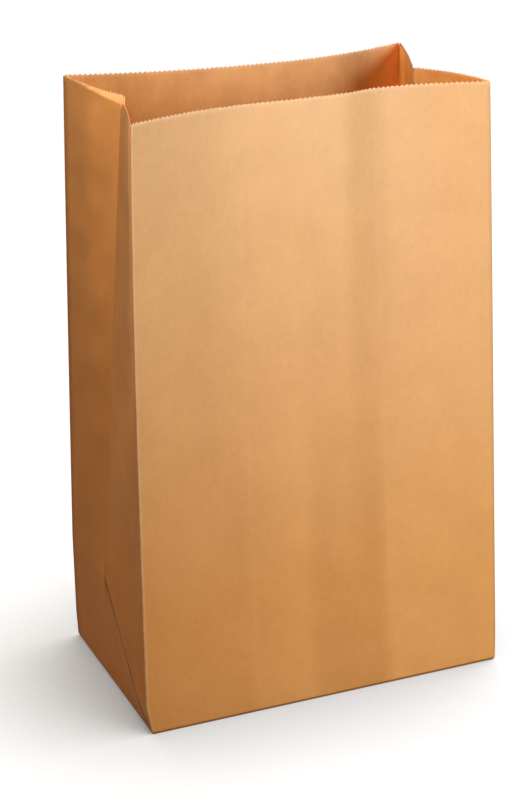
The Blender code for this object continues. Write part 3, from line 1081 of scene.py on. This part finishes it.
def with_wear_and_shading(tree, colour, wear, felt):
    """The colour paler where the value is above 0, for rubbed folds and painted highlights, and darker
    where it is below 0, for painted shade in creases and painted shadow at the base.
    """
    rubbed_and_lit = math_node(tree, "POWER", math_node(tree, "MAXIMUM", wear, 0.0), RUBBED_AND_LIT_FADE)
    rubbed_and_lit = math_node(tree, "MULTIPLY", rubbed_and_lit, by_felt(tree, felt, RUBBED_AND_LIT))
    colour = mixed_colour(tree, rubbed_and_lit, colour, WORN_AND_LIT_KRAFT)
    crease_shade = math_node(tree, "MAXIMUM", math_node(tree, "MULTIPLY", wear, -1.0), 0.0)
    return mixed_colour(tree, math_node(tree, "POWER", crease_shade, CREASE_SHADE_FADE), colour, CREASE_SHADE_KRAFT)


def kraft_paper():
    """Unbleached paper: fine upright fibre, cloudy formation, flecks, worn folds, painted light and shade,
    painted highlights and painted shade in creases.
    """
    material, tree, shader = new_material(SLOT)
    place = attribute_node(tree, "sheet").outputs["Vector"]
    wear = attribute_node(tree, "wear").outputs["Fac"]
    # Painted light and shade of each place
    painted_shading = attribute_node(tree, "painted_shading").outputs["Fac"]
    split = tree.nodes.new("ShaderNodeSeparateXYZ")
    tree.links.new(place, split.inputs["Vector"])
    inside = split.outputs["Z"]
    grains = (FIBRE, FELT, CLOUD, FLECK)
    fibre, felt, cloud, fleck = (grain_node(tree, place, grain) for grain in grains)

    clouding = ranged(tree, inside, 0.0, 1.0, *CLOUDING)
    clouding = math_node(tree, "MULTIPLY", evened(tree, cloud), clouding)
    shade = weighted_sum(
        tree,
        (clouding, 1.0),
        (evened(tree, fibre), FIBRE_SHADE),
        (evened(tree, felt), FELT_SHADE),
        (painted_shading, PAINTED_SHADING_SHARE),
    )
    shade = ranged(tree, shade, -FULL_SHADE, FULL_SHADE, 0.0, 1.0)
    colour = paper_colour(tree, shade, split.outputs["Y"], inside)
    flecked = ranged(tree, fleck, *FLECK_VALUES, 0.0, FLECK_STRENGTH)
    colour = mixed_colour(tree, flecked, colour, FLECK_KRAFT)
    tree.links.new(with_wear_and_shading(tree, colour, wear, felt), shader.inputs["Base Color"])

    tree.links.new(by_felt(tree, felt, ROUGHNESS), shader.inputs["Roughness"])
    shader.inputs["Specular IOR Level"].default_value = GLOSS
    bump = tree.nodes.new("ShaderNodeBump")
    relief_parts = ((fibre, FIBRE_RELIEF), (felt, FELT_RELIEF), (cloud, CLOUD_RELIEF))
    tree.links.new(weighted_sum(tree, *relief_parts), bump.inputs["Height"])
    bump.inputs["Strength"].default_value = RELIEF_STRENGTH
    bump.inputs["Distance"].default_value = RELIEF_DEPTH
    tree.links.new(bump.outputs["Normal"], shader.inputs["Normal"])
    return material


def make_bag():
    """The dressed bag, which takes the place of the part's only node."""
    bag = bpy.data.objects.new(PIECE, bag_mesh())
    bag.data.materials.append(kraft_paper())
    bpy.context.scene.collection.objects.link(bag)
    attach(bag, "root")
    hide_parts("paper_bag")


def make_camera():
    """The camera, where the photo was taken from."""
    camera = bpy.data.cameras.new("camera")
    camera.lens = LENS_MM
    camera.sensor_width = SENSOR_MM
    camera_object = bpy.data.objects.new("camera", camera)
    turn = Matrix.Rotation(-CAMERA_YAW, 4, "Z")
    turn @= Matrix.Rotation(math.pi / 2 - CAMERA_PITCH, 4, "X")
    turn @= Matrix.Rotation(CAMERA_ROLL, 4, "Z")
    camera_object.matrix_world = Matrix.Translation(CAMERA_PLACE) @ turn
    bpy.context.scene.collection.objects.link(camera_object)
    bpy.context.scene.camera = camera_object


def make_lamp(lamp):
    """One soft lamp, turned to the lamps' target."""
    light = bpy.data.lights.new(lamp.name, "AREA")
    light.size = lamp.size
    light.energy = lamp.watts
    light.color = lamp.colour
    lamp_object = bpy.data.objects.new(lamp.name, light)
    lamp_object.location = lamp.place
    towards = Vector(LAMP_TARGET) - Vector(lamp.place)
    lamp_object.rotation_euler = towards.to_track_quat("-Z", "Y").to_euler()
    bpy.context.scene.collection.objects.link(lamp_object)


def any_of(tree, first, *others):
    """1 where any of these sockets is 1, and 0 elsewhere."""
    found = first
    for other in others:
        found = math_node(tree, "MAXIMUM", found, other)
    return found


def make_world():
    """White where it is seen, directly or in a reflection, and a faint light elsewhere."""
    world = bpy.data.worlds.new("studio")
    world.use_nodes = True
    tree = world.node_tree
    light = tree.nodes["Background"]
    light.inputs["Color"].default_value = WORLD_COLOUR
    light.inputs["Strength"].default_value = WORLD_STRENGTH
    white = tree.nodes.new("ShaderNodeBackground")
    white.inputs["Color"].default_value = WHITE
    path = tree.nodes.new("ShaderNodeLightPath")
    rays = ("Is Camera Ray", "Is Glossy Ray", "Is Transmission Ray")
    mixer = tree.nodes.new("ShaderNodeMixShader")
    tree.links.new(any_of(tree, *(path.outputs[ray] for ray in rays)), mixer.inputs["Fac"])
    tree.links.new(light.outputs["Background"], mixer.inputs[1])
    tree.links.new(white.outputs["Background"], mixer.inputs[2])
    tree.links.new(mixer.outputs["Shader"], tree.nodes["World Output"].inputs["Surface"])
    bpy.context.scene.world = world


def unshaded_share(tree):
    """How much of a broad light a place on the floor receives past the bag, from 0 to 1."""
    light = tree.nodes.new("ShaderNodeCombineXYZ")
    for socket, number in zip(light.inputs, SHADOW_LIGHT):
        socket.default_value = number
    shading = tree.nodes.new("ShaderNodeAmbientOcclusion")
    shading.inputs["Distance"].default_value = SHADOW_REACH
    tree.links.new(light.outputs["Vector"], shading.inputs["Normal"])
    return shading.outputs["AO"]


def pale_floor():
    """A pale floor that gives back modest light, and looks white outside the bag's shadow."""
    material, tree, shader = new_material("pale_floor")
    shader.inputs["Roughness"].default_value = FLOOR_ROUGHNESS
    shader.inputs["Specular IOR Level"].default_value = 0.0
    shader.inputs["Emission Color"].default_value = WHITE
    path = tree.nodes.new("ShaderNodeLightPath")
    seen = any_of(tree, path.outputs["Is Camera Ray"], path.outputs["Is Transmission Ray"])
    colour = mixed_colour(tree, seen, FLOOR_COLOUR, FLOOR_SEEN_COLOUR)
    tree.links.new(colour, shader.inputs["Base Color"])
    seen_lift = math_node(tree, "MULTIPLY", seen, unshaded_share(tree))
    glossy = path.outputs["Is Glossy Ray"]
    lift = weighted_sum(tree, (seen_lift, FLOOR_LIFT), (glossy, FLOOR_GLOSS_LIFT))
    tree.links.new(lift, shader.inputs["Emission Strength"])
    return material


def make_floor():
    """A level floor under the bag."""
    reach = FLOOR_SIZE / 2
    corners = [(-reach, -reach, 0), (reach, -reach, 0), (reach, reach, 0), (-reach, reach, 0)]
    mesh = bpy.data.meshes.new("floor")
    mesh.from_pydata(corners, [], [(0, 1, 2, 3)])
    mesh.materials.append(pale_floor())
    floor = bpy.data.objects.new("floor", mesh)
    bpy.context.scene.collection.objects.link(floor)


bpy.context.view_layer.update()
make_camera()
make_world()
for lamp in LAMPS:
    make_lamp(lamp)
make_floor()
make_bag()
bpy.context.scene.view_settings.view_transform = "Standard"
